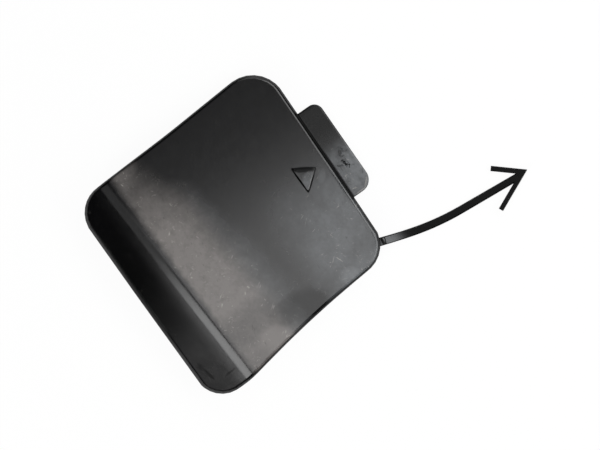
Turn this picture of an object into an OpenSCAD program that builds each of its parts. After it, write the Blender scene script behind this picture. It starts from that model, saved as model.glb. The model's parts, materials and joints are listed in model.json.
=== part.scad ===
// Bumper tow hook cover: one injection moulding with a turned-down strip,
// a locating tab, snap hooks and a retaining strap that ends in an arrow barb.
// The face lies up. X runs along the bend, Y from the strip to the tab.

/* [Plate outline] */
// Length from the strip edge to the tab edge
body_len = 76; // [60:0.5:95]
// Width across the strip end
strip_end_w = 78.6; // [66:0.1:90]
// Width across the tab end
tab_end_w = 74.7; // [62:0.1:88]
// Sideways offset of the strip end's middle
strip_end_shift = 3.35; // [0:0.05:5]
// Sideways offset of the tab end's middle
tab_end_shift = -3.05; // [-5:0.05:0]
// How much the strip edge climbs from left to right
strip_edge_skew = 0.9; // [0:0.1:3]
// How much the tab edge falls from left to right
tab_edge_skew = 0.75; // [0:0.05:2]
// Corner radius, strip end, left
corner_strip_left = 9.8; // [6:0.1:14]
// Corner radius, strip end, right
corner_strip_right = 9.4; // [6:0.1:10]
// Corner radius, tab end, right
corner_tab_right = 10.3; // [6:0.1:12]
// Corner radius, tab end, left
corner_tab_left = 11.2; // [6:0.1:14]
// Distance from the strip edge to the shoulder of the right side
shoulder_from_edge = 14.4; // [14:0.1:20]
// Blend radius of the shoulder
shoulder_r = 42; // [20:1:44]
// Distance from the strip edge to the waist of the right side
waist_from_edge = 42; // [38:0.5:50]
// How far the waist is drawn in from a straight side
waist_in = 1.7; // [0.4:0.1:2.5]
// Blend radius of the waist
waist_r = 340; // [100:5:350]
// How far the left side is drawn in at its middle
left_waist_in = 0.6; // [0.1:0.05:1]
// Blend radius of the left side's middle
left_waist_r = 300; // [100:5:500]

/* [Plate surface] */
// Radius of the gentle crown across the width
crown_x_r = 800; // [500:10:3000]
// Radius of the gentle crown along the length
crown_y_r = 520; // [300:10:3000]
// Distance from the strip edge to the bend, at the middle
bend_from_edge = 14.3; // [9:0.1:20]
// How much the bend climbs from left to right
bend_skew = 4.5; // [0:0.1:7]
// Angle by which the strip turns down
bend_angle = 35; // [20:1:45]
// Outer radius of the bend
bend_r = 9.5; // [3.5:0.1:12]
// Radius of the rounded edge round the face
edge_r = 1.4; // [0.4:0.1:1.6]
// Fillet between the skirt and the back of the face
inner_r = 0.4; // [0.2:0.1:0.8]

/* [Wall] */
// Thickness of the face
skin_t = 2.2; // [1.6:0.1:2.6]
// Thickness of the skirt
skirt_t = 1.8; // [1.4:0.1:2.6]
// Depth of the skirt below the outer surface
skirt_depth = 5; // [4.9:0.1:6.5]
// Break on the lower edge of the skirt
skirt_break = 0.3; // [0.1:0.05:0.5]

/* [Ribs] */
// Thickness of the stiffening ribs
rib_t = 1.2; // [0.8:0.1:2]
// Height of the ribs below the face
rib_h = 1.8; // [1:0.1:2.4]
// Number of ribs along the length
rib_count_y = 3; // [1:1:5]
// Spacing of those ribs
rib_pitch_y = 17; // [10:0.5:18]
// Number of ribs across the width
rib_count_x = 3; // [1:1:5]
// Spacing of those ribs
rib_pitch_x = 13; // [8:0.5:16]

/* [Locating tab] */
// Width of the tab
tab_w = 32.3; // [20:0.1:40]
// Sideways offset of the tab from the middle of the tab edge
tab_shift = 0.1; // [-3:0.05:3]
// How far the tab reaches past the face
tab_reach = 7.7; // [5:0.1:11]
// Drop from the face edge to the top of the tab
tab_step = 2.9; // [2.5:0.1:3.2]
// Thickness of the tab
tab_t = 2; // [1.4:0.1:2.2]
// Radius of the tab's left corner
tab_corner_left = 3.1; // [1.5:0.1:5]
// Radius of the tab's right corner
tab_corner_right = 4.4; // [1.5:0.1:5]
// Rounding of the tab's edges
tab_edge_r = 0.5; // [0.2:0.05:0.6]
// Angle by which the tab droops towards its tip
tab_droop = 2.5; // [0:0.5:5]
// Length of the tab's root behind the skirt
tab_root = 3; // [2:0.1:6]

/* [Press mark] */
// Width of the raised triangle
mark_w = 9.8; // [5:0.1:12]
// Length of the triangle from its base to its point
mark_len = 7.1; // [4:0.1:9]
// Height of the triangle above the face
mark_h = 0.7; // [0.3:0.05:1]
// Gap from the tab edge to the triangle's point
mark_gap = 4.7; // [2.5:0.1:8]
// Sideways offset of the triangle's point from the middle of its base
mark_lean = -0.5; // [-1:0.1:1]
// Sideways offset of the triangle from the middle of the tab
mark_shift = 1.85; // [-5:0.05:5]
// Slope width of the triangle's flanks
mark_flank = 0.8; // [0.3:0.05:1.2]
// Radius of the triangle's corners
mark_corner_r = 0.35; // [0.2:0.05:0.6]

/* [Snap hooks] */
// Width of each snap hook
hook_w = 7; // [4:0.1:10]
// Distance between the middles of the hooks
hook_pitch = 36; // [24:0.5:44]
// Thickness of the hook's arm
hook_t = 1.7; // [1.2:0.1:2.2]
// How far the hooks reach below the lowest corner of the skirt
hook_reach = 0.8; // [0.5:0.1:3]
// Distance from the strip edge to the hook's outer face
hook_inset = 4.2; // [3.2:0.1:6]
// How far the barb stands out from the arm
hook_barb = 1.3; // [0.6:0.1:1.8]
// Height of the barb's blunt edge
hook_lip = 0.6; // [0.3:0.1:1]
// Thickness of the bumper skin that the hooks and the tab grip
bumper_t = 2.8; // [2:0.1:3]

/* [Retaining strap] */
// Width of the strap where it leaves the skirt
strap_w = 2.7; // [2:0.1:4]
// Width of the strap at the barb
strap_tip_w = 2.3; // [1.8:0.1:3.5]
// Thickness of the strap
strap_t = 1.3; // [1:0.1:2]
// Place of the strap's root from the right end of the tab edge
strap_root_in = 4.5; // [2:0.1:9]
// Direction in which the strap leaves, off the Y axis
strap_angle = 18.4; // [5:0.1:30]
// Straight stretch at the root
strap_lead = 6.4; // [3:0.1:15]
// Radius of the strap's sideways curve
strap_curve_r = 90; // [50:1:200]
// Angle of that curve
strap_curve = 14.1; // [4:0.1:25]
// Straight stretch from the curve to the tip
strap_tail = 24.7; // [20:0.1:45]
// Height of the strap's root above the rest plane
strap_root_rise = 1.1; // [0.4:0.1:1.6]
// Length over which the strap comes down to the rest plane
strap_settle = 11; // [6:0.5:16]
// Roll of the strap beyond its hinge, left edge down
strap_roll = 7; // [0:0.5:10]
// Break along the strap's edges
strap_break = 0.3; // [0.1:0.05:0.5]
// Depth of the hinge groove near the skirt
hinge_groove = 0.35; // [0.1:0.05:0.5]
// Distance of the hinge groove from the strap's root
hinge_place = 1.4; // [1:0.1:3]
// Length of the hinge groove
hinge_len = 1.4; // [0.8:0.1:2]
// Distance of the strap's root from the tab edge
strap_root_behind = 3.2; // [2.4:0.1:4]
// Length of the strap's root behind the skirt
strap_root_len = 3; // [2:0.1:4]

/* [Arrow barb] */
// Length of the long arm's outer edge
barb_long = 15.3; // [8:0.1:20]
// Angle of the long arm off the strap
barb_long_angle = 29.5; // [15:0.5:45]
// Width of the long arm
barb_long_w = 1.4; // [1:0.1:2.4]
// Length of the short arm's outer edge
barb_short = 11.6; // [6:0.1:18]
// Angle of the short arm off the strap
barb_short_angle = 36; // [15:0.5:45]
// Width of the short arm
barb_short_w = 1.7; // [1:0.1:2.4]
// Sideways offset of the tip from the middle of the strap
barb_tip_shift = -0.45; // [-1:0.05:1]
// Thickness of the arms
barb_t = 1.5; // [1:0.1:2.2]

/* [Hidden] */
plastic = [0.09, 0.09, 0.095];
overlap = 0.2;
rib_root = 0.9;
half_len = body_len / 2;
nominal_w = (strip_end_w + tab_end_w) / 2;
bend_y = bend_from_edge - half_len;
corner_steps = 7;
column_count = 18;
edge_steps = 4;
tiny = 0.01;
tightest_bend = 0.6;

// Outline as corners with radii, and its rounded loop

left_strip_x = strip_end_shift - strip_end_w / 2;
right_strip_x = strip_end_shift + strip_end_w / 2;
left_tab_x = tab_end_shift - tab_end_w / 2;
left_waist_x = (left_strip_x + left_tab_x) / 2 + left_waist_in;
right_tab_x = tab_end_shift + tab_end_w / 2;
shoulder_y = shoulder_from_edge - half_len;
waist_y = waist_from_edge - half_len;
waist_share = (waist_y - shoulder_y) / (half_len - shoulder_y);
waist_x = right_strip_x + (right_tab_x - right_strip_x) * waist_share - waist_in;

// Height of a slanted line across the plate: level is its height at x = 0
function slanted(level, skew, x) = level + skew * x / nominal_w;

corners = [
    [left_strip_x, slanted(-half_len, strip_edge_skew, left_strip_x)],
    [right_strip_x, slanted(-half_len, strip_edge_skew, right_strip_x)],
    [right_strip_x, shoulder_y],
    [waist_x, waist_y],
    [right_tab_x, slanted(half_len, -tab_edge_skew, right_tab_x)],
    [left_tab_x, slanted(half_len, -tab_edge_skew, left_tab_x)],
    [left_waist_x, 0]
];
corner_r = [
    corner_strip_left, corner_strip_right, shoulder_r,
    waist_r, corner_tab_right, corner_tab_left, left_waist_r
];
corner_fn = [14, 14, 4, 4, 14, 14, 4];
corner_total = len(corners);

function unit(v) = v / norm(v);
function side_dir(i) =
    unit(corners[(i + 1) % corner_total] - corners[i % corner_total]);
function left_normal(d) = [-d[1], d[0]];
// 1 where the outline turns left, -1 where it turns right
function turn_sign(i) =
    sign(cross(side_dir(i + corner_total - 1), side_dir(i)));
function inset_corner(i, d) =
    let (n1 = left_normal(side_dir(i + corner_total - 1)), n2 = left_normal(side_dir(i)))
    corners[i] + d * (n1 + n2) / (1 + n1 * n2);

// The rounding arc of one corner, with the outline moved inwards by d
function corner_arc(i, d) =
    let (
        r = corner_r[i] - d * turn_sign(i),
        d1 = side_dir(i + corner_total - 1),
        d2 = side_dir(i),
        turn = acos(d1 * d2),
        start = inset_corner(i, d) - d1 * r * tan(turn / 2),
        centre = start + left_normal(d1) * r * turn_sign(i),
        spoke = start - centre
    )
    [for (k = [0 : corner_fn[i]])
        let (a = turn * turn_sign(i) * k / corner_fn[i])
        centre + [
            spoke[0] * cos(a) - spoke[1] * sin(a),
            spoke[0] * sin(a) + spoke[1] * cos(a)
        ]];

function outline(d) = [for (i = [0 : corner_total - 1]) each corner_arc(i, d)];

// Rows that cross the plate, slanted as the edges and the bend are

function row_skew(level) =
    level < bend_y
    ? strip_edge_skew
        + (bend_skew - strip_edge_skew) * (level + half_len) / (bend_y + half_len)
    : bend_skew
        - (bend_skew + tab_edge_skew) * (level - bend_y) / (half_len - bend_y);

// Offsets of the rows that shape a round corner, closest together at the edge
function corner_rows(r) =
    [for (k = [0 : corner_steps]) tiny + r * (1 - cos(90 * k / corner_steps))];

// The bend's rows: its arc starts above the bend line and ends below it
bend_steps = 8;
bend_start = bend_y + bend_r * tan(bend_angle / 2);
bend_end = bend_start - bend_r * sin(bend_angle);
row_step = 3.2;

function between(a, b) =
    let (n = max(1, ceil((b - a) / row_step)))
    [for (k = [1 : n - 1]) a + (b - a) * k / n];

// Corner rows that stay clear of the bend, also on the inner side of the skirt
deepest_inset = skirt_t + inner_r;
strip_rows = corner_rows(corner_strip_left - deepest_inset);
clear_rows = [for (k = [0 : corner_steps])
    if (deepest_inset - half_len + strip_rows[k] < bend_end - tiny) k];

function row_levels(d) =
    let (
        low = corner_rows(corner_strip_left - d),
        high = corner_rows(corner_tab_left - d),
        bend = [for (k = [0 : bend_steps])
            bend_end + (bend_start - bend_end) * k / bend_steps]
    )
    concat(
        [for (k = clear_rows) d - half_len + low[k]],
        len(clear_rows) > corner_steps
            ? between(corner_strip_left + tiny - half_len, bend_end) : [],
        bend,
        between(bend_start, half_len - corner_tab_left - tiny),
        [for (k = [corner_steps : -1 : 0]) half_len - d - high[k]]
    );

// Where a slanted row crosses the outline, as [left, right]
function row_span(loop, level) =
    let (
        n = len(loop),
        gap = [for (p = loop) p[1] - slanted(level, row_skew(level), p[0])],
        hits = [for (i = [0 : n - 1])
            let (j = (i + 1) % n)
            if (gap[i] * gap[j] <= 0 && gap[i] != gap[j])
                loop[i][0] + (loop[j][0] - loop[i][0]) * gap[i] / (gap[i] - gap[j])]
    )
    [min(hits), max(hits)];

function plate_grid(d) =
    let (loop = outline(d))
    [for (level = row_levels(d))
        let (span = row_span(loop, level))
        [for (i = [0 : column_count])
            let (x = span[0] + (span[1] - span[0]) * i / column_count)
            [x, slanted(level, row_skew(level), x)]]];

// The closed border of a grid, counter-clockwise from its first corner
function border(grid) =
    let (rows = len(grid), last = column_count)
    concat(
        [for (i = [0 : last - 1]) grid[0][i]],
        [for (j = [0 : rows - 2]) grid[j][last]],
        [for (i = [last : -1 : 1]) grid[rows - 1][i]],
        [for (j = [rows - 1 : -1 : 1]) grid[j][0]]
    );

function border_normal(loop, i) =
    let (n = len(loop), d = unit(loop[(i + 1) % n] - loop[(i + n - 1) % n]))
    [d[1], -d[0]];

// Height of the plate's surface, at a depth below the outer one

function bend_drop(run, r) =
    let (tangent = r * tan(bend_angle / 2), s = run + tangent)
    s <= 0 ? 0
    : s < r * sin(bend_angle) ? r - sqrt(r * r - s * s)
    : run * tan(bend_angle);

function surface_z(p, depth) =
    let (run = slanted(bend_y, bend_skew, p[0]) - p[1] + depth * tan(bend_angle / 2))
    -p[0] * p[0] / (2 * crown_x_r) - p[1] * p[1] / (2 * crown_y_r)
        - depth - bend_drop(run, max(bend_r - depth, tightest_bend));

function on_surface(p, depth) = [p[0], p[1], surface_z(p, depth)];

// A solid from one grid of the plate's surface to another. Rings join their
// borders, each as [border, step outwards, depth, drop below that depth].
module lofted(over, top, rings, under, bottom) {
    rows = len(over);
    cols = column_count + 1;
    n = len(border(over));
    points = concat(
        [for (row = over, p = row) on_surface(p, top)],
        [for (row = under, p = row) on_surface(p, bottom)],
        [for (ring = rings, i = [0 : n - 1])
            let (p = ring[0][i] + border_normal(ring[0], i) * ring[1])
            on_surface(p, ring[2]) - [0, 0, ring[3]]]
    );
    first_ring = 2 * rows * cols;
    // Index of border point i in the grid that starts at base
    function rim(base, i) =
        let (c = column_count, r = rows - 1, k = i % n)
        base + (
            k < c ? k
            : k < c + r ? (k - c) * cols + c
            : k < 2 * c + r ? r * cols + (2 * c + r - k)
            : (2 * c + 2 * r - k) * cols
        );
    function ring_index(k, i) =
        k < 0 ? rim(0, i)
        : k >= len(rings) ? rim(rows * cols, i)
        : first_ring + k * n + i % n;
    faces = concat(
        [for (j = [0 : rows - 2], i = [0 : column_count - 1])
            let (a = j * cols + i)
            each [[a, a + cols, a + 1], [a + 1, a + cols, a + cols + 1]]],
        [for (j = [0 : rows - 2], i = [0 : column_count - 1])
            let (a = rows * cols + j * cols + i)
            each [[a, a + 1, a + cols], [a + 1, a + cols + 1, a + cols]]],
        [for (k = [-1 : len(rings) - 1], i = [0 : n - 1])
            let (
                a = ring_index(k, i),
                b = ring_index(k, i + 1),
                c = ring_index(k + 1, i),
                e = ring_index(k + 1, i + 1)
            )
            each [[a, b, c], [b, e, c]]]
    );
    polyhedron(points, faces, convexity = 6);
}

// The face with its strip and skirt, hollow behind

module shell() {
    over = plate_grid(edge_r);
    under = plate_grid(skirt_t + inner_r);
    outside = border(over);
    inside = border(under);
    rounding = [for (k = [1 : edge_steps])
        let (a = 90 * k / edge_steps)
        [outside, edge_r * sin(a), 0, edge_r * (1 - cos(a))]];
    skirt = [
        [outside, edge_r, skirt_depth, -skirt_break],
        [outside, edge_r - skirt_break, skirt_depth, 0],
        [inside, inner_r, skirt_depth, 0],
        [inside, inner_r, skin_t, inner_r]
    ];
    lofted(over, 0, concat(rounding, skirt), under, skin_t);
}

// Ribs that follow the back of the face

module ribs() {
    reach = body_len + strip_end_w;
    field = plate_grid(skirt_t - rib_root);
    intersection() {
        lofted(field, skin_t - rib_root, [], field, skin_t + rib_h);
        union() {
            for (i = [0 : rib_count_y - 1])
                translate([(i - (rib_count_y - 1) / 2) * rib_pitch_y - rib_t / 2, -reach, -reach])
                    cube([rib_t, 2 * reach, 2 * reach]);
            for (i = [0 : rib_count_x - 1])
                translate([-reach, (i - (rib_count_x - 1) / 2) * rib_pitch_x - rib_t / 2, -reach])
                    cube([2 * reach, rib_t, 2 * reach]);
        }
    }
}

// Locating tab, stepped below the tab edge

tab_x = tab_end_shift + tab_shift;
tab_edge_y = slanted(half_len, -tab_edge_skew, tab_x);
tab_top_z = surface_z([tab_x, tab_edge_y], tab_step);
tab_full = tab_reach + skirt_t + tab_root;

module tab_slice(inset, z, t) {
    translate([0, 0, z])
        linear_extrude(t)
            hull() {
                translate([-tab_w / 2 + inset, 0])
                    square([tab_w - 2 * inset, tiny]);
                translate([-tab_w / 2 + tab_corner_left, tab_full - tab_corner_left])
                    circle(r = tab_corner_left - inset, $fn = 32);
                translate([tab_w / 2 - tab_corner_right, tab_full - tab_corner_right])
                    circle(r = tab_corner_right - inset, $fn = 32);
            }
}

module tab() {
    soft = tab_edge_r * (1 - cos(45));
    translate([tab_x, tab_edge_y - skirt_t - tab_root, tab_top_z])
        rotate([-tab_droop, 0, 0])
            hull() {
                tab_slice(tab_edge_r, -tab_t, tab_t);
                tab_slice(soft, -tab_t + soft, tab_t - 2 * soft);
                tab_slice(0, -tab_t + tab_edge_r, tab_t - 2 * tab_edge_r);
            }
}

// Raised triangle that shows where to press

mark_x = tab_x + mark_shift;
mark_tip_y = tab_edge_y - mark_gap;
mark_base_z = surface_z([mark_x, mark_tip_y - mark_len / 2], 0);

// How far the triangle's corners move when its sides move in by 1
mark_side_pull = 1 / tan(atan2(mark_len, mark_w / 2) / 2);
mark_tip_pull = 1 / sin(atan2(mark_w / 2, mark_len));
// Share of the flank's width and height at its softened upper part
mark_soft_in = 0.55;
mark_soft_up = 0.85;

module mark_slice(inset, z) {
    r = mark_corner_r;
    translate([0, 0, z])
        linear_extrude(tiny)
            hull() {
                for (x = [-1, 1])
                    translate([x * (mark_w / 2 - r - inset * mark_side_pull), r + inset])
                        circle(r = r, $fn = 16);
                translate([mark_lean, mark_len - r - inset * mark_tip_pull])
                    circle(r = r, $fn = 16);
            }
}

module press_mark() {
    slope = asin((mark_tip_y - mark_len / 2) / crown_y_r);
    translate([mark_x, mark_tip_y - mark_len / 2, mark_base_z])
        rotate([-slope, 0, 0])
            translate([0, -mark_len / 2, 0])
                hull() {
                    mark_slice(0, -overlap);
                    mark_slice(mark_flank * mark_soft_in, mark_h * mark_soft_up);
                    mark_slice(mark_flank, mark_h);
                }
}

// Snap hooks behind the strip edge

function hook_y(x) = slanted(-half_len, strip_edge_skew, x) + hook_inset;
function hook_top_z(x) = surface_z([x, hook_y(x) + hook_t / 2], skin_t - overlap);
hook_xs = [for (side = [-1, 1]) strip_end_shift + side * hook_pitch / 2];
low_x = right_strip_x - corner_strip_right;
low_corner = [low_x, slanted(-half_len, strip_edge_skew, low_x)];
hook_tip_z = surface_z(low_corner, skirt_depth) - hook_reach;

// How the cover lies: on the faces of its hook tips and the end of the tab

tab_toe_y = tab_edge_y + tab_reach - tab_edge_r;
tab_toe_z = tab_top_z - tab_t - tab_full * sin(tab_droop);
hook_toe_y = hook_y(hook_xs[1]) + hook_t;
rest_tilt = atan((tab_toe_z - hook_tip_z) / (tab_toe_y - hook_toe_y));
floor_z = -hook_toe_y * sin(rest_tilt) + hook_tip_z * cos(rest_tilt);

// Height of the rest plane in the plate's own axes
function rest_z(y) = hook_tip_z + (y - hook_toe_y) * tan(rest_tilt);

module snap_hook(x) {
    outer = hook_y(x);
    inner = outer + hook_t;
    edge_z = surface_z([x, slanted(-half_len, strip_edge_skew, x)], 0);
    catch_z = edge_z - bumper_t;
    translate([x + hook_w / 2, 0, 0])
        rotate([90, 0, -90])
            linear_extrude(hook_w)
                polygon([
                    [-inner, hook_top_z(x) + overlap],
                    [-outer, hook_top_z(x)],
                    [-outer, catch_z],
                    [-outer + hook_barb, catch_z - hook_barb],
                    [-outer + hook_barb, catch_z - hook_barb - hook_lip],
                    [-outer, rest_z(outer)],
                    [-inner, rest_z(inner)]
                ]);
}

module as_it_lies() {
    rotate([-rest_tilt, 0, 0])
        children();
}

// Retaining strap: straight out of the skirt, a gentle curve, then straight

strap_root = [right_tab_x - strap_root_in, half_len - strap_root_behind];
curve_len = strap_curve_r * strap_curve * PI / 180;
strap_total = strap_lead + curve_len + strap_tail;
strap_steps = 10;

function heading(a) = [sin(a), cos(a)];
// Angle turned after a length s along the strap
function strap_turn(s) =
    min(strap_curve, max(0, (s - strap_lead) / strap_curve_r * 180 / PI));
function strap_heading(s) = strap_angle - strap_turn(s);
function strap_point(s) =
    let (
        turn = strap_turn(s),
        bent = strap_curve_r * [
            cos(strap_angle - turn) - cos(strap_angle),
            sin(strap_angle) - sin(strap_angle - turn)
        ]
    )
    strap_root + heading(strap_angle) * min(s, strap_lead) + bent
        + heading(strap_angle - strap_curve) * max(0, s - strap_lead - curve_len);

// 0 before a, 1 after b, smooth between
function ease(s, a, b) = (1 - cos(180 * min(1, max(0, (s - a) / (b - a))))) / 2;

function strap_width(s) = strap_w + (strap_tip_w - strap_w) * max(s, 0) / strap_total;
function roll_at(s) = strap_roll * ease(s, hinge_place, strap_settle);

// The strap comes down from its root and rises a little to the rolled barb,
// whose short arm touches the rest plane
barb_rise = (barb_short * sin(barb_short_angle) - barb_tip_shift) * sin(strap_roll);
function strap_lift(s) =
    strap_root_rise * (1 - ease(s, 0, strap_settle)) + barb_rise * max(s, 0) / strap_total;

// The thinned hinge next to the skirt, as a fall in the strap's thickness
hinge_stops = [for (k = [-2, -1, 1, 2]) hinge_place + k * hinge_len / 4];
function strap_thickness(s) =
    abs(s - hinge_place) < hinge_len * 3 / 8 ? strap_t - hinge_groove : strap_t;

// A band of material along stations, each [point, angle, width, thickness,
// height of its underside, roll]. Its upper edges are broken.
module band(stations) {
    count = len(stations);
    points = [
        for (st = stations)
            let (
                side = [cos(st[1]), -sin(st[1])],
                w = st[2] / 2,
                t = st[3],
                section = [
                    [-w, 0], [w, 0], [w, t - strap_break], [w - strap_break, t],
                    [-w + strap_break, t], [-w, t - strap_break]
                ]
            )
            for (q = section)
                let (
                    across = q[0] * cos(st[5]) - q[1] * sin(st[5]),
                    up = q[0] * sin(st[5]) + q[1] * cos(st[5])
                )
                [st[0][0] + side[0] * across, st[0][1] + side[1] * across,
                    floor_z + st[4] + up]
    ];
    faces = concat(
        [[5, 4, 3, 2, 1, 0]],
        [[for (i = [0 : 5]) (count - 1) * 6 + i]],
        [for (k = [0 : count - 2], i = [0 : 5])
            let (a = k * 6 + i, b = k * 6 + (i + 1) % 6)
            each [[b, b + 6, a + 6], [b, a + 6, a]]]
    );
    polyhedron(points, faces, convexity = 4);
}

// The strap keeps its width up to the barb's crotch and tapers inside the barb
barb_crotch = (barb_long_w / sin(barb_long_angle) + barb_short_w / sin(barb_short_angle)) / 2;
strap_end = strap_total - barb_crotch - overlap;
strap_nose = strap_total - barb_crotch * 2 / 3;
strap_nose_w = strap_tip_w / 2;

module strap() {
    curve_start = hinge_stops[3];
    curve_end = strap_lead + curve_len;
    stops = concat(
        [-strap_root_len, 0],
        hinge_stops,
        [for (k = [1 : strap_steps])
            curve_start + (curve_end - curve_start) * k / strap_steps],
        [strap_end]
    );
    band([for (s = concat(stops, [strap_nose]))
        [strap_point(s), strap_heading(s), s > strap_end ? strap_nose_w : strap_width(s),
            strap_thickness(s), strap_lift(s), roll_at(s)]]);
}

// Arrow barb at the strap's end: two arms swept back from one sharp tip

module barb() {
    tip = strap_point(strap_total);
    long_arm = [sin(barb_long_angle), -cos(barb_long_angle)];
    short_arm = [-sin(barb_short_angle), -cos(barb_short_angle)];
    translate([tip[0], tip[1], floor_z + strap_lift(strap_total)])
        rotate([0, 0, -strap_heading(strap_total)])
            rotate([0, -strap_roll, 0])
                translate([barb_tip_shift, 0, 0])
                    linear_extrude(barb_t)
                        polygon([
                            [0, 0],
                            short_arm * barb_short,
                            short_arm * barb_short + [-short_arm[1], short_arm[0]] * barb_short_w,
                            [0, -barb_crotch],
                            long_arm * barb_long + [long_arm[1], -long_arm[0]] * barb_long_w,
                            long_arm * barb_long
                        ]);
}

module cover() {
    color(plastic) {
        as_it_lies() {
            shell();
            ribs();
            tab();
            press_mark();
            for (x = hook_xs)
                snap_hook(x);
        }
        strap();
        barb();
    }
}

cover();
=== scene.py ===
"""Looks of a moulded bumper tow hook cover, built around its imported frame.

Lengths are metres in the frame, and millimetres where a name ends in mm. The cover has axes of its
own: x along the bend, y from the turned-down strip to the locating tab, z out of the face. They are
the frame's axes tipped about X, because the cover lies on its snap hooks and its tab.
"""

import json
import logging
import math
from dataclasses import dataclass
from enum import Enum
from typing import Any, ClassVar, Mapping, Union

import bmesh
import bpy
from mathutils import Matrix, Vector


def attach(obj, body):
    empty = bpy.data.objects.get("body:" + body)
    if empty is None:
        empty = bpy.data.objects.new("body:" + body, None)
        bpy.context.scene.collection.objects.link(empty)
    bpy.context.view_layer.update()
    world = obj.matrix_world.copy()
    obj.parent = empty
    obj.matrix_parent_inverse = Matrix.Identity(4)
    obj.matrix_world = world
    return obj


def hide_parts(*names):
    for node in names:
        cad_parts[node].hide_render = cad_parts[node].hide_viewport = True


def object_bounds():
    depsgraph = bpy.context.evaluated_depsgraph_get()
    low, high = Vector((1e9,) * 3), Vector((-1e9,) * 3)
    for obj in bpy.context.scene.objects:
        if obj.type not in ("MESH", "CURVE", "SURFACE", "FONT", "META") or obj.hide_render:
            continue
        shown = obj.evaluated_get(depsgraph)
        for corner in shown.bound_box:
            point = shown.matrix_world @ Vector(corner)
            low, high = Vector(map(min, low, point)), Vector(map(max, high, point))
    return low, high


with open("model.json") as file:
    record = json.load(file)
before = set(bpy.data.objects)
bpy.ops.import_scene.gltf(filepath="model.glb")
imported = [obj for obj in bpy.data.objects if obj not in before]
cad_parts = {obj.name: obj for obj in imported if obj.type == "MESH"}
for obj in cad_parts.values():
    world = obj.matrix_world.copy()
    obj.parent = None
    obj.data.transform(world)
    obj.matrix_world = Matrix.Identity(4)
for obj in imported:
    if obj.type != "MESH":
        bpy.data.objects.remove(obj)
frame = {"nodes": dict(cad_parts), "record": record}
CAD_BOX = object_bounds()

LOG = logging.getLogger("tow_hook_cover")
MM = 0.001
NOISE_MIDDLE = 0.5

Colour = tuple[float, float, float]
Operand = Union["Field", float]
Settings = Mapping[str, Any]
Inputs = Mapping[Union[int, str], Any]


def opaque(colour: Colour) -> tuple[float, float, float, float]:
    """Returns the colour with a full alpha, as a colour socket takes it."""
    return (*colour, 1.0)


class Op(Enum):
    """The operations of a Math node that the looks use."""

    ADD = "ADD"
    SUBTRACT = "SUBTRACT"
    MULTIPLY = "MULTIPLY"
    LEAST = "MINIMUM"
    MOST = "MAXIMUM"


class Field:
    """A node's output socket that takes part in arithmetic."""

    def __init__(self, bench: "NodeBench", socket: bpy.types.NodeSocket) -> None:
        """Keeps the socket and the bench that new nodes go on.

        Args:
            bench: The bench that owns the node tree.
            socket: The output socket that this field stands for.
        """
        self.bench = bench
        self.socket = socket

    def __add__(self, other: Operand) -> "Field":
        """Returns self + other."""
        return self.bench.maths(Op.ADD, self, other)

    __radd__ = __add__

    def __sub__(self, other: Operand) -> "Field":
        """Returns self - other."""
        return self.bench.maths(Op.SUBTRACT, self, other)

    def __rsub__(self, other: Operand) -> "Field":
        """Returns other - self."""
        return self.bench.maths(Op.SUBTRACT, other, self)

    def __mul__(self, other: Operand) -> "Field":
        """Returns self * other."""
        return self.bench.maths(Op.MULTIPLY, self, other)

    __rmul__ = __mul__

    def least(self, other: Operand) -> "Field":
        """Returns the smaller of self and other."""
        return self.bench.maths(Op.LEAST, self, other)

    def most(self, other: Operand) -> "Field":
        """Returns the larger of self and other."""
        return self.bench.maths(Op.MOST, self, other)

    def wander(self, reach: float) -> "Field":
        """Turns a noise into a push of up to half the reach to either side of 0."""
        return (self - NOISE_MIDDLE) * reach

    def rise(self, low: float, high: float) -> "Field":
        """Maps self smoothly from 0 at low to 1 at high.

        Args:
            low: The value that gives 0.
            high: The value that gives 1. It may be below low.

        Returns:
            The smooth step.
        """
        step = self.bench.field(
            "ShaderNodeMapRange",
            {"interpolation_type": "SMOOTHSTEP"},
            {"Value": self, "From Min": min(low, high), "From Max": max(low, high)},
        )
        return step if low <= high else 1.0 - step


class NodeBench:
    """Makes the nodes of one node tree."""

    # The colour sockets of a Mix node share their names with its other sockets.
    MIX_FIRST: ClassVar[int] = 6
    MIX_SECOND: ClassVar[int] = 7
    MIX_RESULT: ClassVar[int] = 2

    def __init__(self, tree: bpy.types.NodeTree) -> None:
        """Keeps the tree and clears it.

        Args:
            tree: The node tree to build in.
        """
        self.tree = tree
        tree.nodes.clear()

    def node(
        self, kind: str, settings: Settings | None = None, inputs: Inputs | None = None
    ) -> bpy.types.Node:
        """Adds a node, sets it and then feeds its sockets.

        Args:
            kind: The node's type.
            settings: Its own properties.
            inputs: Socket names or numbers, with a field or a value for each.

        Returns:
            The node.
        """
        node = self.tree.nodes.new(kind)
        for key, value in (settings or {}).items():
            setattr(node, key, value)
        for key, value in (inputs or {}).items():
            if isinstance(value, Field):
                self.tree.links.new(value.socket, node.inputs[key])
            else:
                node.inputs[key].default_value = value
        return node

    def field(
        self,
        kind: str,
        settings: Settings | None = None,
        inputs: Inputs | None = None,
        output: Union[int, str] = 0,
    ) -> Field:
        """Adds a node as node() does, and returns one of its outputs as a field."""
        return Field(self, self.node(kind, settings, inputs).outputs[output])

    def maths(self, operation: Op, first: Operand, second: Operand) -> Field:
        """Adds a Math node and returns its result."""
        return self.field("ShaderNodeMath", {"operation": operation.value}, {0: first, 1: second})

    def blend(self, factor: Operand, first: Any, second: Any) -> Field:
        """Mixes two colours.

        Args:
            factor: 0 for the first colour, 1 for the second.
            first: An opaque colour or a field.
            second: An opaque colour or a field.

        Returns:
            The mixed colour.
        """
        return self.field(
            "ShaderNodeMix",
            {"data_type": "RGBA"},
            {"Factor": factor, self.MIX_FIRST: first, self.MIX_SECOND: second},
            output=self.MIX_RESULT,
        )


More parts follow.
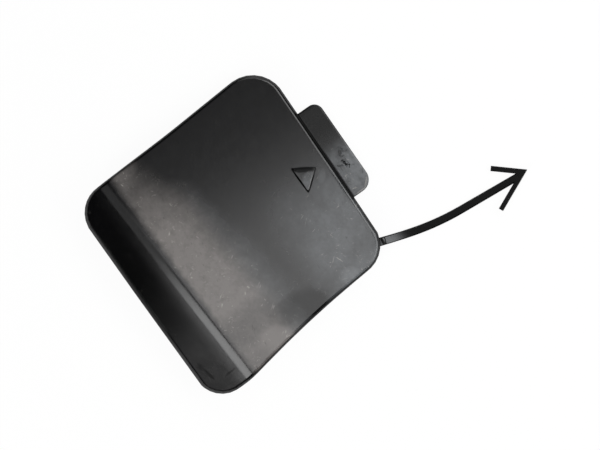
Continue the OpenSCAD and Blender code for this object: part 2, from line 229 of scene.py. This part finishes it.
@dataclass(frozen=True)
class PlateAxes:
    """The cover's own axes in the frame."""

    tilt: float

    @classmethod
    def from_record(cls, record: Mapping[str, Any]) -> "PlateAxes":
        """Reads the tilt from the mount that faces into the bumper opening.

        Args:
            record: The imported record.

        Returns:
            The cover's axes.
        """
        mount = next(m for m in record["mounts"] if m["name"] == "bumper_opening")
        return cls(tilt=math.atan2(-mount["axis"][1], -mount["axis"][2]))

    @property
    def to_frame(self) -> Matrix:
        """The turn from the cover's axes to the frame's."""
        return Matrix.Rotation(-self.tilt, 4, "X")

    def point(self, x_mm: float, y_mm: float) -> Vector:
        """Returns a point of the cover's own x and y plane as a point in the frame."""
        return self.to_frame @ (Vector((x_mm, y_mm, 0.0)) * MM)

    def direction(self, x: float, y: float, z: float) -> Vector:
        """Returns a direction given in the cover's axes as one in the frame."""
        return (self.to_frame @ Vector((x, y, z))).normalized()


@dataclass(frozen=True)
class FaceLayout:
    """Where the bend and the face's tab edge run, in the cover's axes."""

    bend_mm: float = -23.7
    bend_climb: float = 0.0587
    tab_edge_mm: float = 38.0
    tab_edge_fall: float = 0.0098


class Measure(Enum):
    """What a ramp over the cover can run along."""

    X = "mm along the bend"
    Y = "mm from the strip towards the tab"
    ABOVE_BEND = "mm from the bend, onto the face"
    PAST_EDGE = "mm past the face's tab edge"
    LEVEL = "1 where the surface is level with the face, 0 where it is upright"


class CoverPoint:
    """The point that is being shaded, with its measures on the cover."""

    def __init__(self, bench: NodeBench, axes: PlateAxes, layout: FaceLayout) -> None:
        """Adds the nodes that measure the point.

        Args:
            bench: The bench to build on.
            axes: The cover's axes.
            layout: Where the bend and the tab edge run.
        """
        self.bench = bench
        coords = bench.node("ShaderNodeTexCoord")
        self.place = bench.field(
            "ShaderNodeMapping",
            {"vector_type": "POINT"},
            {
                "Vector": Field(bench, coords.outputs["Object"]),
                "Rotation": (axes.tilt, 0.0, 0.0),
                "Scale": (1 / MM,) * 3,
            },
        )
        split = bench.node("ShaderNodeSeparateXYZ", None, {0: self.place})
        x, y = (Field(bench, split.outputs[axis]) for axis in "XY")
        self._measures = {
            Measure.X: x,
            Measure.Y: y,
            Measure.ABOVE_BEND: y - layout.bend_mm - x * layout.bend_climb,
            Measure.PAST_EDGE: y - layout.tab_edge_mm + x * layout.tab_edge_fall,
            Measure.LEVEL: bench.field(
                "ShaderNodeVectorMath",
                {"operation": "DOT_PRODUCT"},
                {0: Field(bench, coords.outputs["Normal"]), 1: axes.direction(0, 0, 1)},
                output="Value",
            ),
        }

    def __getitem__(self, measure: Measure) -> Field:
        """Returns one of the point's measures."""
        return self._measures[measure]


@dataclass(frozen=True)
class Noise:
    """A noise over the cover. Its scale is the number of its cells in a mm."""

    scale: float
    detail: float
    roughness: float = 0.6
    distortion: float = 0.0

    def over(self, place: Field) -> Field:
        """Returns the noise at a place.

        Args:
            place: A place in the cover's axes, in mm.

        Returns:
            A field from 0 to 1 that is mostly near the middle.
        """
        return place.bench.field(
            "ShaderNodeTexNoise",
            {"noise_dimensions": "3D"},
            {
                "Vector": place,
                "Scale": self.scale,
                "Detail": self.detail,
                "Roughness": self.roughness,
                "Distortion": self.distortion,
            },
        )


@dataclass(frozen=True)
class Ramp:
    """A smooth step along one measure, from 0 at its start to 1 at its end."""

    measure: Measure
    start: float
    end: float

    def mask(self, point: CoverPoint) -> Field:
        """Returns the step at the point."""
        return point[self.measure].rise(self.start, self.end)


@dataclass(frozen=True)
class Zone:
    """A part of the cover with soft edges: where all of its ramps have risen."""

    ramps: tuple[Ramp, ...]
    strength: float = 1.0

    def mask(self, point: CoverPoint) -> Field:
        """Returns the zone, from 0 outside it to its strength inside.

        Args:
            point: The point that is being shaded.

        Returns:
            The mask.
        """
        total = self.ramps[0].mask(point)
        for ramp in self.ramps[1:]:
            total = total * ramp.mask(point)
        return total if self.strength == 1.0 else total * self.strength


@dataclass(frozen=True)
class CloudyZone:
    """A zone that a noise makes stronger in places."""

    zone: Zone
    thin: float
    thick: float
    gain: float
    least: float

    def mask(self, point: CoverPoint, noise: Field) -> Field:
        """Returns the zone, stronger where the noise climbs from thin to thick.

        Args:
            point: The point that is being shaded.
            noise: The noise, from 0 to 1.

        Returns:
            The mask.
        """
        return self.zone.mask(point) * (noise.rise(self.thin, self.thick) * self.gain + self.least)


# Patches give real marks, and also painted highlights and painted shade.
@dataclass(frozen=True)
class OvalPatch:
    """One soft oval patch on the cover, with its half lengths. Its turn is in degrees."""

    RIM: ClassVar[float] = 1.0
    CORE: ClassVar[float] = 0.25

    x_mm: float
    y_mm: float
    long_mm: float
    short_mm: float
    turn: float
    strength: float

    def mask(self, point: CoverPoint, ragged: Operand = 0.0) -> Field:
        """Returns the patch, from 0 outside it to its strength in the middle.

        Args:
            point: The point that is being shaded.
            ragged: A field or number that pushes the edge in and out.

        Returns:
            The mask.
        """
        cos, sin = math.cos(math.radians(self.turn)), math.sin(math.radians(self.turn))
        right, up = point[Measure.X] - self.x_mm, point[Measure.Y] - self.y_mm
        along = right * (cos / self.long_mm) + up * (sin / self.long_mm)
        over = up * (cos / self.short_mm) - right * (sin / self.short_mm)
        reach = along * along + over * over + ragged
        return reach.rise(self.RIM, self.CORE) * self.strength


STRAP = (Ramp(Measure.PAST_EDGE, -0.1, 0.1), Ramp(Measure.X, 19.0, 20.0))


@dataclass(frozen=True)
class RubbedHazeAndSheen:
    """The pale haze of rubbing, partly painted sheen: a band beside the bend, and fainter areas
    round it.
    """

    cloud: Noise = Noise(0.09, 5.0)
    blotch: Noise = Noise(0.28, 3.0)
    speckle: Noise = Noise(0.9, 4.0)
    blotch_mottle: float = 0.8
    speckle_mottle: float = 0.5
    # The band's far side leans and wanders, and lies nearer to the bend on the left.
    top_mm: tuple[float, float] = (27.2, 9.0)
    top_lean: float = 0.15
    top_ragged_mm: float = 9.0
    top_drop_mm: Zone = Zone((Ramp(Measure.X, -20.0, -30.0),), 5.5)
    # Its near side follows the bend.
    foot_mm: tuple[float, float] = (0.5, 3.5)
    foot_lean: float = 0.03
    foot_ragged_mm: float = 1.6
    # The band's strength along the bend is partly painted sheen: it follows the lamps' reflection
    # along x.
    band_strength: float = 0.62
    band_changes: tuple[Zone, ...] = (
        Zone((Ramp(Measure.X, -24.0, -10.0),), 0.36),
        Zone((Ramp(Measure.X, -29.0, -34.0),), 0.14),
        Zone((Ramp(Measure.X, 18.0, 26.0),), -0.45),
        Zone((Ramp(Measure.X, 30.0, 36.0),), 0.16),
    )
    right_side: Zone = Zone(
        (
            Ramp(Measure.X, 26.0, 36.0),
            Ramp(Measure.ABOVE_BEND, 8.0, 13.0),
            Ramp(Measure.ABOVE_BEND, 21.0, 15.0),
        ),
        0.4,
    )
    right_corner: CloudyZone = CloudyZone(
        Zone((Ramp(Measure.X, -10.0, 18.0), Ramp(Measure.Y, 6.0, 22.0))),
        thin=0.3,
        thick=0.65,
        gain=0.25,
        least=0.36,
    )
    tab: CloudyZone = CloudyZone(
        Zone((Ramp(Measure.PAST_EDGE, 0.2, 0.6), Ramp(Measure.X, -7.0, 1.0))),
        thin=0.3,
        thick=0.6,
        gain=0.3,
        least=0.5,
    )
    strip: CloudyZone = CloudyZone(
        Zone((Ramp(Measure.ABOVE_BEND, -3.0, -5.5), Ramp(Measure.X, 8.0, 34.0))),
        thin=0.4,
        thick=0.6,
        gain=0.1,
        least=0.01,
    )
    # Beside the triangle, at the band's two ends, in the right corner, and a dark one at the
    # waist. The two beside the triangle and the one at the band's left end are painted highlights.
    # Each row gives x_mm, y_mm, long_mm, short_mm, turn and strength.
    patches: tuple[OvalPatch, ...] = (
        OvalPatch(0.3, 28.6, 3.4, 2.0, -51.0, 0.34),
        OvalPatch(1.8, 33.2, 3.0, 1.5, -40.0, 0.16),
        OvalPatch(-35.6, -17.8, 5.2, 3.4, 90.0, 0.14),
        OvalPatch(36.0, -9.0, 8.0, 4.6, 75.0, 0.16),
        OvalPatch(34.0, -18.6, 5.0, 2.6, 20.0, 0.05),
        OvalPatch(22.5, 27.0, 5.0, 3.5, 0.0, 0.2),
        OvalPatch(33.5, 22.5, 4.5, 3.5, 60.0, 0.3),
        OvalPatch(8.0, 33.0, 6.0, 4.0, -30.0, 0.14),
        OvalPatch(32.4, 4.0, 10.5, 6.4, 78.0, -0.13),
    )
    patch_ragged: float = 1.5
    strap: Zone = Zone(STRAP)
    # A painted highlight on the strap, lightest at its root.
    strap_root_highlight: Zone = Zone((Ramp(Measure.Y, 45.5, 38.5),), 0.62)
    outward: Ramp = Ramp(Measure.LEVEL, 0.74, 0.9)

    def mask(self, point: CoverPoint) -> Field:
        """Returns the haze: rubbed wear, partly painted sheen and highlight.

        Args:
            point: The point that is being shaded.

        Returns:
            The haze, from 0 to 1, on the surfaces that face outwards.
        """
        cloud, blotch, speckle = (
            noise.over(point.place) for noise in (self.cloud, self.blotch, self.speckle)
        )
        spread = self._band(point, cloud, blotch) + self.right_side.mask(point)
        for area, noise in ((self.right_corner, cloud), (self.tab, blotch), (self.strip, blotch)):
            spread = spread.most(area.mask(point, noise))
        ragged = blotch.wander(self.patch_ragged)
        for patch in self.patches:
            spread = spread + patch.mask(point, ragged)
        mottle = blotch.wander(self.blotch_mottle) + speckle.wander(self.speckle_mottle) + 1.0
        strap = self.strap.mask(point)
        rubbed_and_sheen = spread * mottle * (1.0 - strap) + self.strap_root_highlight.mask(point) * strap
        return rubbed_and_sheen.most(0.0).least(1.0) * self.outward.mask(point)

    def _band(self, point: CoverPoint, cloud: Field, blotch: Field) -> Field:
        """Returns the band beside the bend, rubbed wear and partly painted sheen.

        Args:
            point: The point that is being shaded.
            cloud: The noise that the band's far side follows.
            blotch: The noise that its near side follows.

        Returns:
            The band, from 0 to 1.
        """
        x, above = point[Measure.X], point[Measure.ABOVE_BEND]
        top = above - x * self.top_lean + cloud.wander(self.top_ragged_mm)
        top = top + self.top_drop_mm.mask(point)
        foot = above + x * self.foot_lean + blotch.wander(self.foot_ragged_mm)
        along = sum((change.mask(point) for change in self.band_changes), self.band_strength)
        return top.rise(*self.top_mm) * foot.rise(*self.foot_mm) * along


@dataclass(frozen=True)
class Streaks:
    """Short scratches that run one way. Their turn is in degrees."""

    GRAIN: ClassVar[Noise] = Noise(1.0, 1.0, 0.5, 0.8)
    LENGTH_MM: ClassVar[float] = 2.0
    WIDTH_MM: ClassVar[float] = 0.6
    CUT: ClassVar[tuple[float, float]] = (0.67, 0.78)

    turn: float
    offset_mm: float
    size: float

    def mask(self, point: CoverPoint) -> Field:
        """Returns the scratches.

        Args:
            point: The point that is being shaded.

        Returns:
            1 in a scratch, and 0 between them.
        """
        run = point.bench.field(
            "ShaderNodeMapping",
            {"vector_type": "TEXTURE"},
            {
                "Vector": point.place,
                "Location": (self.offset_mm, self.offset_mm / 2, 0.0),
                "Rotation": (0.0, 0.0, math.radians(self.turn)),
                "Scale": (self.LENGTH_MM * self.size, self.WIDTH_MM * self.size, self.LENGTH_MM),
            },
        )
        return self.GRAIN.over(run).rise(*self.CUT)


@dataclass(frozen=True)
class FineScratches:
    """Fine scratches and specks, pale where they crowd and a few dark ones between."""

    pale: tuple[Streaks, ...] = (
        Streaks(20.0, 3.0, 1.0),
        Streaks(-50.0, 17.0, 1.5),
        Streaks(80.0, 41.0, 0.8),
    )
    dark: Streaks = Streaks(-15.0, 63.0, 1.2)
    crowding: Noise = Noise(0.22, 2.0, 0.5)
    crowded: tuple[float, float] = (0.45, 0.62)
    pale_in_haze: float = 0.55
    pale_elsewhere: float = 0.03
    dark_haze: tuple[float, float] = (0.2, 0.6)
    dark_strength: float = 0.35

    def masks(self, point: CoverPoint, haze: Field) -> tuple[Field, Field]:
        """Returns the scratches, mostly where the haze is.

        Args:
            point: The point that is being shaded.
            haze: The rubbed haze, partly painted sheen.

        Returns:
            The pale ones and the dark ones, each from 0 to 1.
        """
        crowd = self.crowding.over(point.place).rise(*self.crowded)
        pale = self.pale[0].mask(point)
        for streaks in self.pale[1:]:
            pale = pale.most(streaks.mask(point))
        pale = pale * crowd * (haze * self.pale_in_haze + self.pale_elsewhere)
        dark = self.dark.mask(point) * (1.0 - crowd) * haze.rise(*self.dark_haze)
        return pale, dark * self.dark_strength


@dataclass(frozen=True)
class ShadeAndDirt:
    """Dull black: painted shade in the seams, along the flanks and on the surfaces that turn away,
    and dirt in the marks.
    """

    # Painted shade in the seam between the face's edge and the tab.
    tab_seam_shade: Zone = Zone(
        (
            Ramp(Measure.PAST_EDGE, -1.15, -0.85),
            Ramp(Measure.PAST_EDGE, 0.4, 0.1),
            Ramp(Measure.X, -20.5, -19.5),
            Ramp(Measure.X, 14.2, 13.4),
        ),
        0.75,
    )
    # Painted shade: the tab darker towards its left end.
    tab_left_shade: Zone = Zone(
        (
            Ramp(Measure.PAST_EDGE, 0.2, 0.5),
            Ramp(Measure.X, 2.0, -12.0),
            Ramp(Measure.X, -20.0, -19.0),
        ),
        0.45,
    )
    # Painted shadow on the strap's hinge, beside the face's edge.
    strap_hinge_shadow: Zone = Zone(
        (
            Ramp(Measure.Y, 38.0, 37.6),
            Ramp(Measure.X, 28.2, 28.8),
            Ramp(Measure.X, 33.0, 32.4),
            Ramp(Measure.PAST_EDGE, -0.9, -0.6),
        ),
        0.85,
    )
    # Painted shade: the strap darker towards its end.
    strap_end_shade: Zone = Zone((*STRAP, Ramp(Measure.Y, 40.0, 46.0)), 0.42)
    # Painted shade over the middle of the turned-down strip.
    strip_middle_shade: Zone = Zone(
        (
            Ramp(Measure.ABOVE_BEND, -2.5, -10.0),
            Ramp(Measure.X, -24.0, -2.0),
            Ramp(Measure.X, 27.0, 10.0),
        ),
        0.5,
    )
    # Painted shade on the upright surfaces, which dulls what they reflect.
    steep_side_shade: Zone = Zone((Ramp(Measure.LEVEL, 0.55, 0.25),), 0.6)
    # Each patch gives x_mm, y_mm, long_mm, short_mm, turn and strength.
    waist_smear: OvalPatch = OvalPatch(32.8, 3.4, 13.0, 6.6, 80.0, 0.2)
    # Painted shade along the flanks of the triangle.
    triangle_flank_shade: tuple[OvalPatch, ...] = (
        OvalPatch(-1.0, 26.52, 5.6, 0.4, 1.6, 0.95),
        OvalPatch(-3.3, 29.4, 4.8, 1.15, 58.8, 0.7),
        OvalPatch(1.6, 29.3, 4.3, 0.34, -51.0, 0.85),
    )
    strip_strokes: tuple[OvalPatch, ...] = (
        OvalPatch(36.7, -27.0, 2.8, 0.35, 97.0, 0.5),
        OvalPatch(33.5, -33.1, 3.0, 0.6, 12.0, 0.45),
        OvalPatch(29.8, -34.1, 1.6, 1.0, 0.0, 0.35),
    )
    tab_marks: tuple[OvalPatch, ...] = (
        OvalPatch(-1.6, 43.4, 2.2, 1.2, 25.0, 0.5),
        OvalPatch(-0.6, 42.2, 2.0, 1.0, 10.0, 0.5),
        OvalPatch(2.6, 41.9, 2.0, 1.1, 15.0, 0.95),
        OvalPatch(2.4, 40.0, 1.8, 0.5, 60.0, 0.5),
        OvalPatch(4.4, 43.4, 1.6, 0.6, 40.0, 0.35),
    )
    tab_grain: Noise = Noise(1.1, 5.0, 0.75)
    tab_grain_middle: float = 0.45
    tab_ragged: float = 5.0

    def mask(self, point: CoverPoint) -> Field:
        """Returns the painted shade and the dirt.

        Args:
            point: The point that is being shaded.

        Returns:
            The painted shade and the dirt, from 0 to 1.
        """
        ragged = (self.tab_grain.over(point.place) - self.tab_grain_middle) * self.tab_ragged
        total = self.tab_seam_shade.mask(point)
        for mark in self.tab_marks:
            total = total.most(mark.mask(point, ragged))
        for spot in (
            self.tab_left_shade,
            self.strap_hinge_shadow,
            self.strap_end_shade,
            self.strip_middle_shade,
            self.steep_side_shade,
            self.waist_smear,
            *self.triangle_flank_shade,
            *self.strip_strokes,
        ):
            total = total.most(spot.mask(point))
        return total


@dataclass(frozen=True)
class MouldedBlack:
    """Satin black moulded plastic, rubbed and lightly scratched, with painted sheen and painted
    shade.
    """

    axes: PlateAxes
    layout: FaceLayout = FaceLayout()
    haze: RubbedHazeAndSheen = RubbedHazeAndSheen()
    scratches: FineScratches = FineScratches()
    shade_and_dirt: ShadeAndDirt = ShadeAndDirt()
    base: Colour = (0.0022, 0.0022, 0.0025)
    # Tones of the pale haze, which is rubbed wear and partly painted sheen.
    rubbed_and_sheen: Colour = (0.14, 0.129, 0.123)
    dusty_and_sheen: Colour = (0.123, 0.13, 0.137)
    dusty_and_sheen_part: Ramp = Ramp(Measure.ABOVE_BEND, 15.0, 26.0)
    # The pale of the scratches, also used for the painted highlights on the tab's rim.
    scratch_and_highlight: Colour = (0.42, 0.4, 0.37)
    # The dull black of the painted shade and of the dirt.
    shade_and_grime: Colour = (0.002, 0.0022, 0.002)
    # Painted highlights on the rim and corner of the tab, on its right: rows as in the haze's
    # patches.
    tab_rim_highlights: tuple[OvalPatch, ...] = (
        OvalPatch(12.75, 40.9, 2.6, 0.3, 93.0, 0.3),
        OvalPatch(11.4, 43.7, 1.9, 0.3, 135.0, 0.3),
    )
    ior: float = 1.5
    roughness: float = 0.17
    grain: Noise = Noise(0.35, 4.0)
    grain_roughness: float = 0.08
    haze_roughness: float = 0.08
    tab_roughness: Zone = Zone(
        (Ramp(Measure.PAST_EDGE, 0.0, 0.6), Ramp(Measure.X, 15.5, 14.5)), 0.1
    )
    strip_roughness: Zone = Zone((Ramp(Measure.ABOVE_BEND, -2.5, -7.0),), -0.06)
    side_roughness: Zone = Zone((Ramp(Measure.LEVEL, 0.78, 0.55),), 0.4)
    texture: Noise = Noise(3.0, 3.0)
    texture_strength: float = 0.25
    texture_mm: float = 0.02
    scratch_height: float = 0.6

    def material(self, name: str) -> bpy.types.Material:
        """Builds the material.

        Args:
            name: The material's name.

        Returns:
            The material.
        """
        made = bpy.data.materials.new(name)
        made.use_nodes = True
        bench = NodeBench(made.node_tree)
        point = CoverPoint(bench, self.axes, self.layout)
        # The haze is rubbed wear and partly painted sheen and highlight.
        haze = self.haze.mask(point)
        pale, dark = self.scratches.masks(point, haze)
        # The painted highlights on the tab's rim join the pale scratches.
        for rim in self.tab_rim_highlights:
            pale = pale.most(rim.mask(point))
        plastic = bench.field(
            "ShaderNodeBsdfPrincipled",
            None,
            {
                "Base Color": self._colour(point, haze, pale),
                "Roughness": self._roughness(point, haze),
                "Normal": self._relief(point, pale),
                "IOR": self.ior,
            },
        )
        # Dull black over the plastic where the painted shade and the dirt lie.
        dull = bench.field("ShaderNodeBsdfDiffuse", None, {"Color": opaque(self.shade_and_grime)})
        painted_shade_and_dirt = self.shade_and_dirt.mask(point).most(dark)
        plastic_with_shade_and_dirt = bench.field("ShaderNodeMixShader", None, {0: painted_shade_and_dirt, 1: plastic, 2: dull})
        bench.node("ShaderNodeOutputMaterial", None, {"Surface": plastic_with_shade_and_dirt})
        return made

    def _colour(self, point: CoverPoint, haze: Field, pale: Field) -> Field:
        """Returns the colour: black, then the haze over it, then the pale scratches and the painted
        highlights on the tab's rim.

        Args:
            point: The point that is being shaded.
            haze: The rubbed haze, partly painted sheen.
            pale: The pale scratches, with the painted highlights on the tab's rim.

        Returns:
            The colour.
        """
        bench = point.bench
        tone = bench.blend(self.dusty_and_sheen_part.mask(point), opaque(self.rubbed_and_sheen), opaque(self.dusty_and_sheen))
        hazy = bench.blend(haze, opaque(self.base), tone)
        return bench.blend(pale, hazy, opaque(self.scratch_and_highlight))

    def _roughness(self, point: CoverPoint, haze: Field) -> Field:
        """Returns the roughness, which wanders a little and grows with the haze.

        Args:
            point: The point that is being shaded.
            haze: The rubbed haze, partly painted sheen.

        Returns:
            The roughness.
        """
        grain = self.grain.over(point.place).wander(self.grain_roughness)
        zones = (self.tab_roughness, self.strip_roughness, self.side_roughness)
        plain = grain + haze * self.haze_roughness + self.roughness
        return sum((zone.mask(point) for zone in zones), plain)

    def _relief(self, point: CoverPoint, pale: Field) -> Field:
        """Returns the bumped normal of the moulded texture, the pale scratches and the painted
        highlights on the tab's rim.

        Args:
            point: The point that is being shaded.
            pale: The pale scratches, with the painted highlights on the tab's rim.

        Returns:
            The normal.
        """
        height = self.texture.over(point.place) + pale * self.scratch_height
        return point.bench.field(
            "ShaderNodeBump",
            None,
            {
                "Strength": self.texture_strength,
                "Distance": self.texture_mm * MM,
                "Height": height,
            },
        )


@dataclass
class CoverMoulding:
    """The cover as one moulding: a merged, smoothly shaded copy of its solid."""

    finish: MouldedBlack
    merge_mm: float = 0.002
    sharp_angle: float = math.radians(30)

    def build(self) -> bpy.types.Object:
        """Copies the solid's mesh, merges it and shades it.

        Returns:
            The finished piece.
        """
        solid = frame["nodes"]["cover"]
        shape = bmesh.new()
        shape.from_mesh(solid.data)
        bmesh.ops.remove_doubles(shape, verts=shape.verts, dist=self.merge_mm * MM)
        bmesh.ops.dissolve_degenerate(shape, edges=shape.edges, dist=self.merge_mm * MM)
        for face in shape.faces:
            face.smooth = True
        for edge in shape.edges:
            edge.smooth = edge.is_manifold and edge.calc_face_angle(0.0) < self.sharp_angle
        mesh = bpy.data.meshes.new("cover_moulding")
        shape.to_mesh(mesh)
        shape.free()
        piece = bpy.data.objects.new("cover_moulding", mesh)
        bpy.context.scene.collection.objects.link(piece)
        weighted = piece.modifiers.new("flat_faces_lead", "WEIGHTED_NORMAL")
        weighted.mode = "FACE_AREA"
        weighted.keep_sharp = True
        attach(piece, "root")
        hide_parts("cover")
        return piece

    def dress(self, piece: bpy.types.Object) -> None:
        """Gives the piece its finish."""
        piece.data.materials.append(self.finish.material("moulded_black"))


@dataclass(frozen=True)
class Softbox:
    """A rectangular lamp that faces the cover.

    Its leans are in degrees off the face's own normal, towards x and y. Its distance, width and
    height are metres.
    """

    name: str
    lean_x: float
    lean_y: float
    distance: float
    width: float
    height: float
    radiance: float

    def build(self, axes: PlateAxes, aim: Vector) -> bpy.types.Object:
        """Makes the lamp.

        Args:
            axes: The cover's axes, which the leans are measured from.
            aim: The point that the lamp faces.

        Returns:
            The lamp's object.
        """
        tan_x = math.tan(math.radians(self.lean_x))
        tan_y = math.tan(math.radians(self.lean_y))
        away = axes.direction(tan_x, tan_y, 1.0)
        light = bpy.data.lights.new(self.name, "AREA")
        light.shape = "RECTANGLE"
        light.size = self.width
        light.size_y = self.height
        light.energy = self.radiance * math.pi * self.width * self.height
        lamp = bpy.data.objects.new(self.name, light)
        lamp.location = aim + away * self.distance
        side = axes.direction(1.0, 0.0, 0.0)
        across = (side - away * side.dot(away)).normalized()
        up = away.cross(across)
        lamp.rotation_euler = Matrix((across, up, away)).transposed().to_euler()
        bpy.context.scene.collection.objects.link(lamp)
        return lamp


@dataclass
class Studio:
    """A pale floor, soft lamps and a dim surround."""

    axes: PlateAxes
    floor_size: float = 8.0
    floor_white: float = 0.95
    floor_glow: float = 0.94
    surround: float = 0.015
    # Each row gives the name, lean_x, lean_y, distance, width, height and radiance.
    softboxes: tuple[Softbox, ...] = (
        Softbox("key", 11.0, -11.0, 0.8, 0.29, 0.84, 2.6),
        Softbox("key_edge", -1.6, -11.0, 0.8, 0.075, 0.84, 1.25),
        Softbox("low_bar", 26.8, -60.0, 0.69, 0.27, 0.36, 5.3),
        Softbox("low_card", -20.0, -52.5, 0.7, 0.36, 0.4, 0.5),
        Softbox("strip_card", 50.2, -80.5, 0.7, 0.2, 0.13, 0.24),
        Softbox("strip_end", 56.0, -80.5, 0.7, 0.2, 0.13, 0.28),
        Softbox("back_bar", 5.0, 38.0, 0.7, 0.7, 0.26, 3.8),
        Softbox("mark_light", 26.6, 20.8, 0.8, 0.2, 0.2, 4.0),
        Softbox("left_card", -22.0, 2.0, 0.8, 0.5, 0.8, 0.32),
        Softbox("corner_fill", -48.0, 48.0, 0.8, 0.6, 0.6, 1.2),
        Softbox("right_fill", 52.0, 44.0, 0.8, 0.5, 0.5, 1.6),
    )

    def floor(self, height: float) -> bpy.types.Object:
        """Lays the floor.

        Args:
            height: The height at which the cover rests.

        Returns:
            The floor.
        """
        shape = bmesh.new()
        bmesh.ops.create_grid(
            shape,
            x_segments=1,
            y_segments=1,
            size=self.floor_size / 2,
            matrix=Matrix.Translation((0.0, 0.0, height)),
        )
        mesh = bpy.data.meshes.new("studio_floor")
        shape.to_mesh(mesh)
        shape.free()
        floor = bpy.data.objects.new("studio_floor", mesh)
        bpy.context.scene.collection.objects.link(floor)
        mesh.materials.append(self._white_paint())
        return floor

    def _white_paint(self) -> bpy.types.Material:
        """Makes a matt white that the camera and the gloss see as a plain background.

        Returns:
            The material.
        """
        paint = bpy.data.materials.new("studio_white")
        paint.use_nodes = True
        bench = NodeBench(paint.node_tree)
        shade: Colour = (self.floor_white,) * 3
        matt = bench.field("ShaderNodeBsdfDiffuse", None, {"Color": opaque(shade)})
        path = bench.node("ShaderNodeLightPath")
        seen, mirrored, through = (
            Field(bench, path.outputs[f"Is {kind} Ray"])
            for kind in ("Camera", "Glossy", "Transmission")
        )
        backdrop = seen.most(mirrored).most(through) * self.floor_glow
        white = bench.field("ShaderNodeEmission", None, {"Strength": 1.0})
        both = bench.field("ShaderNodeMixShader", None, {0: backdrop, 1: matt, 2: white})
        bench.node("ShaderNodeOutputMaterial", None, {"Surface": both})
        return paint

    def world(self) -> None:
        """Sets the dim surround."""
        world = bpy.data.worlds.new("surround")
        world.use_nodes = True
        bench = NodeBench(world.node_tree)
        grey: Colour = (self.surround,) * 3
        back = bench.field("ShaderNodeBackground", None, {"Color": opaque(grey), "Strength": 1.0})
        bench.node("ShaderNodeOutputWorld", None, {"Surface": back})
        bpy.context.scene.world = world

    def lamps(self) -> list[bpy.types.Object]:
        """Hangs the lamps, which all face the middle of the cover's face, and returns them."""
        aim = self.axes.point(0, 0)
        return [softbox.build(self.axes, aim) for softbox in self.softboxes]


@dataclass(frozen=True)
class ProductCamera:
    """A camera square to the face, at the photograph's turn and framing."""

    axes: PlateAxes
    aim_x_mm: float = 10.64
    aim_y_mm: float = 18.45
    turn: float = math.radians(55.2)
    distance: float = 1.2
    view_width: float = 0.192
    sensor: float = 36.0

    def build(self) -> bpy.types.Object:
        """Makes the camera and sets it as the scene's own.

        Returns:
            The camera's object.
        """
        out = self.axes.direction(0, 0, 1)
        right = self.axes.direction(math.cos(self.turn), math.sin(self.turn), 0)
        up = out.cross(right)
        data = bpy.data.cameras.new("product_camera")
        data.sensor_width = self.sensor
        data.lens = self.sensor * self.distance / self.view_width
        camera = bpy.data.objects.new("product_camera", data)
        camera.location = self.axes.point(self.aim_x_mm, self.aim_y_mm) + out * self.distance
        camera.rotation_euler = Matrix((right, up, out)).transposed().to_euler()
        bpy.context.scene.collection.objects.link(camera)
        bpy.context.scene.camera = camera
        return camera


def main() -> None:
    """Builds the camera, the cover and the studio in order, and reports each piece."""
    logging.basicConfig(level=logging.INFO, format="%(name)s: %(message)s")
    bpy.context.scene.view_settings.view_transform = "Standard"
    axes = PlateAxes.from_record(frame["record"])
    ProductCamera(axes).build()
    moulding = CoverMoulding(MouldedBlack(axes))
    piece = moulding.build()
    moulding.dress(piece)
    LOG.info("%s has %d faces", piece.name, len(piece.data.polygons))
    studio = Studio(axes)
    floor = studio.floor(CAD_BOX[0].z)
    LOG.info("%s lies at %.2f mm", floor.name, CAD_BOX[0].z / MM)
    studio.world()
    LOG.info("%d lamps hang over the cover", len(studio.lamps()))


if __name__ == "__main__":
    main()
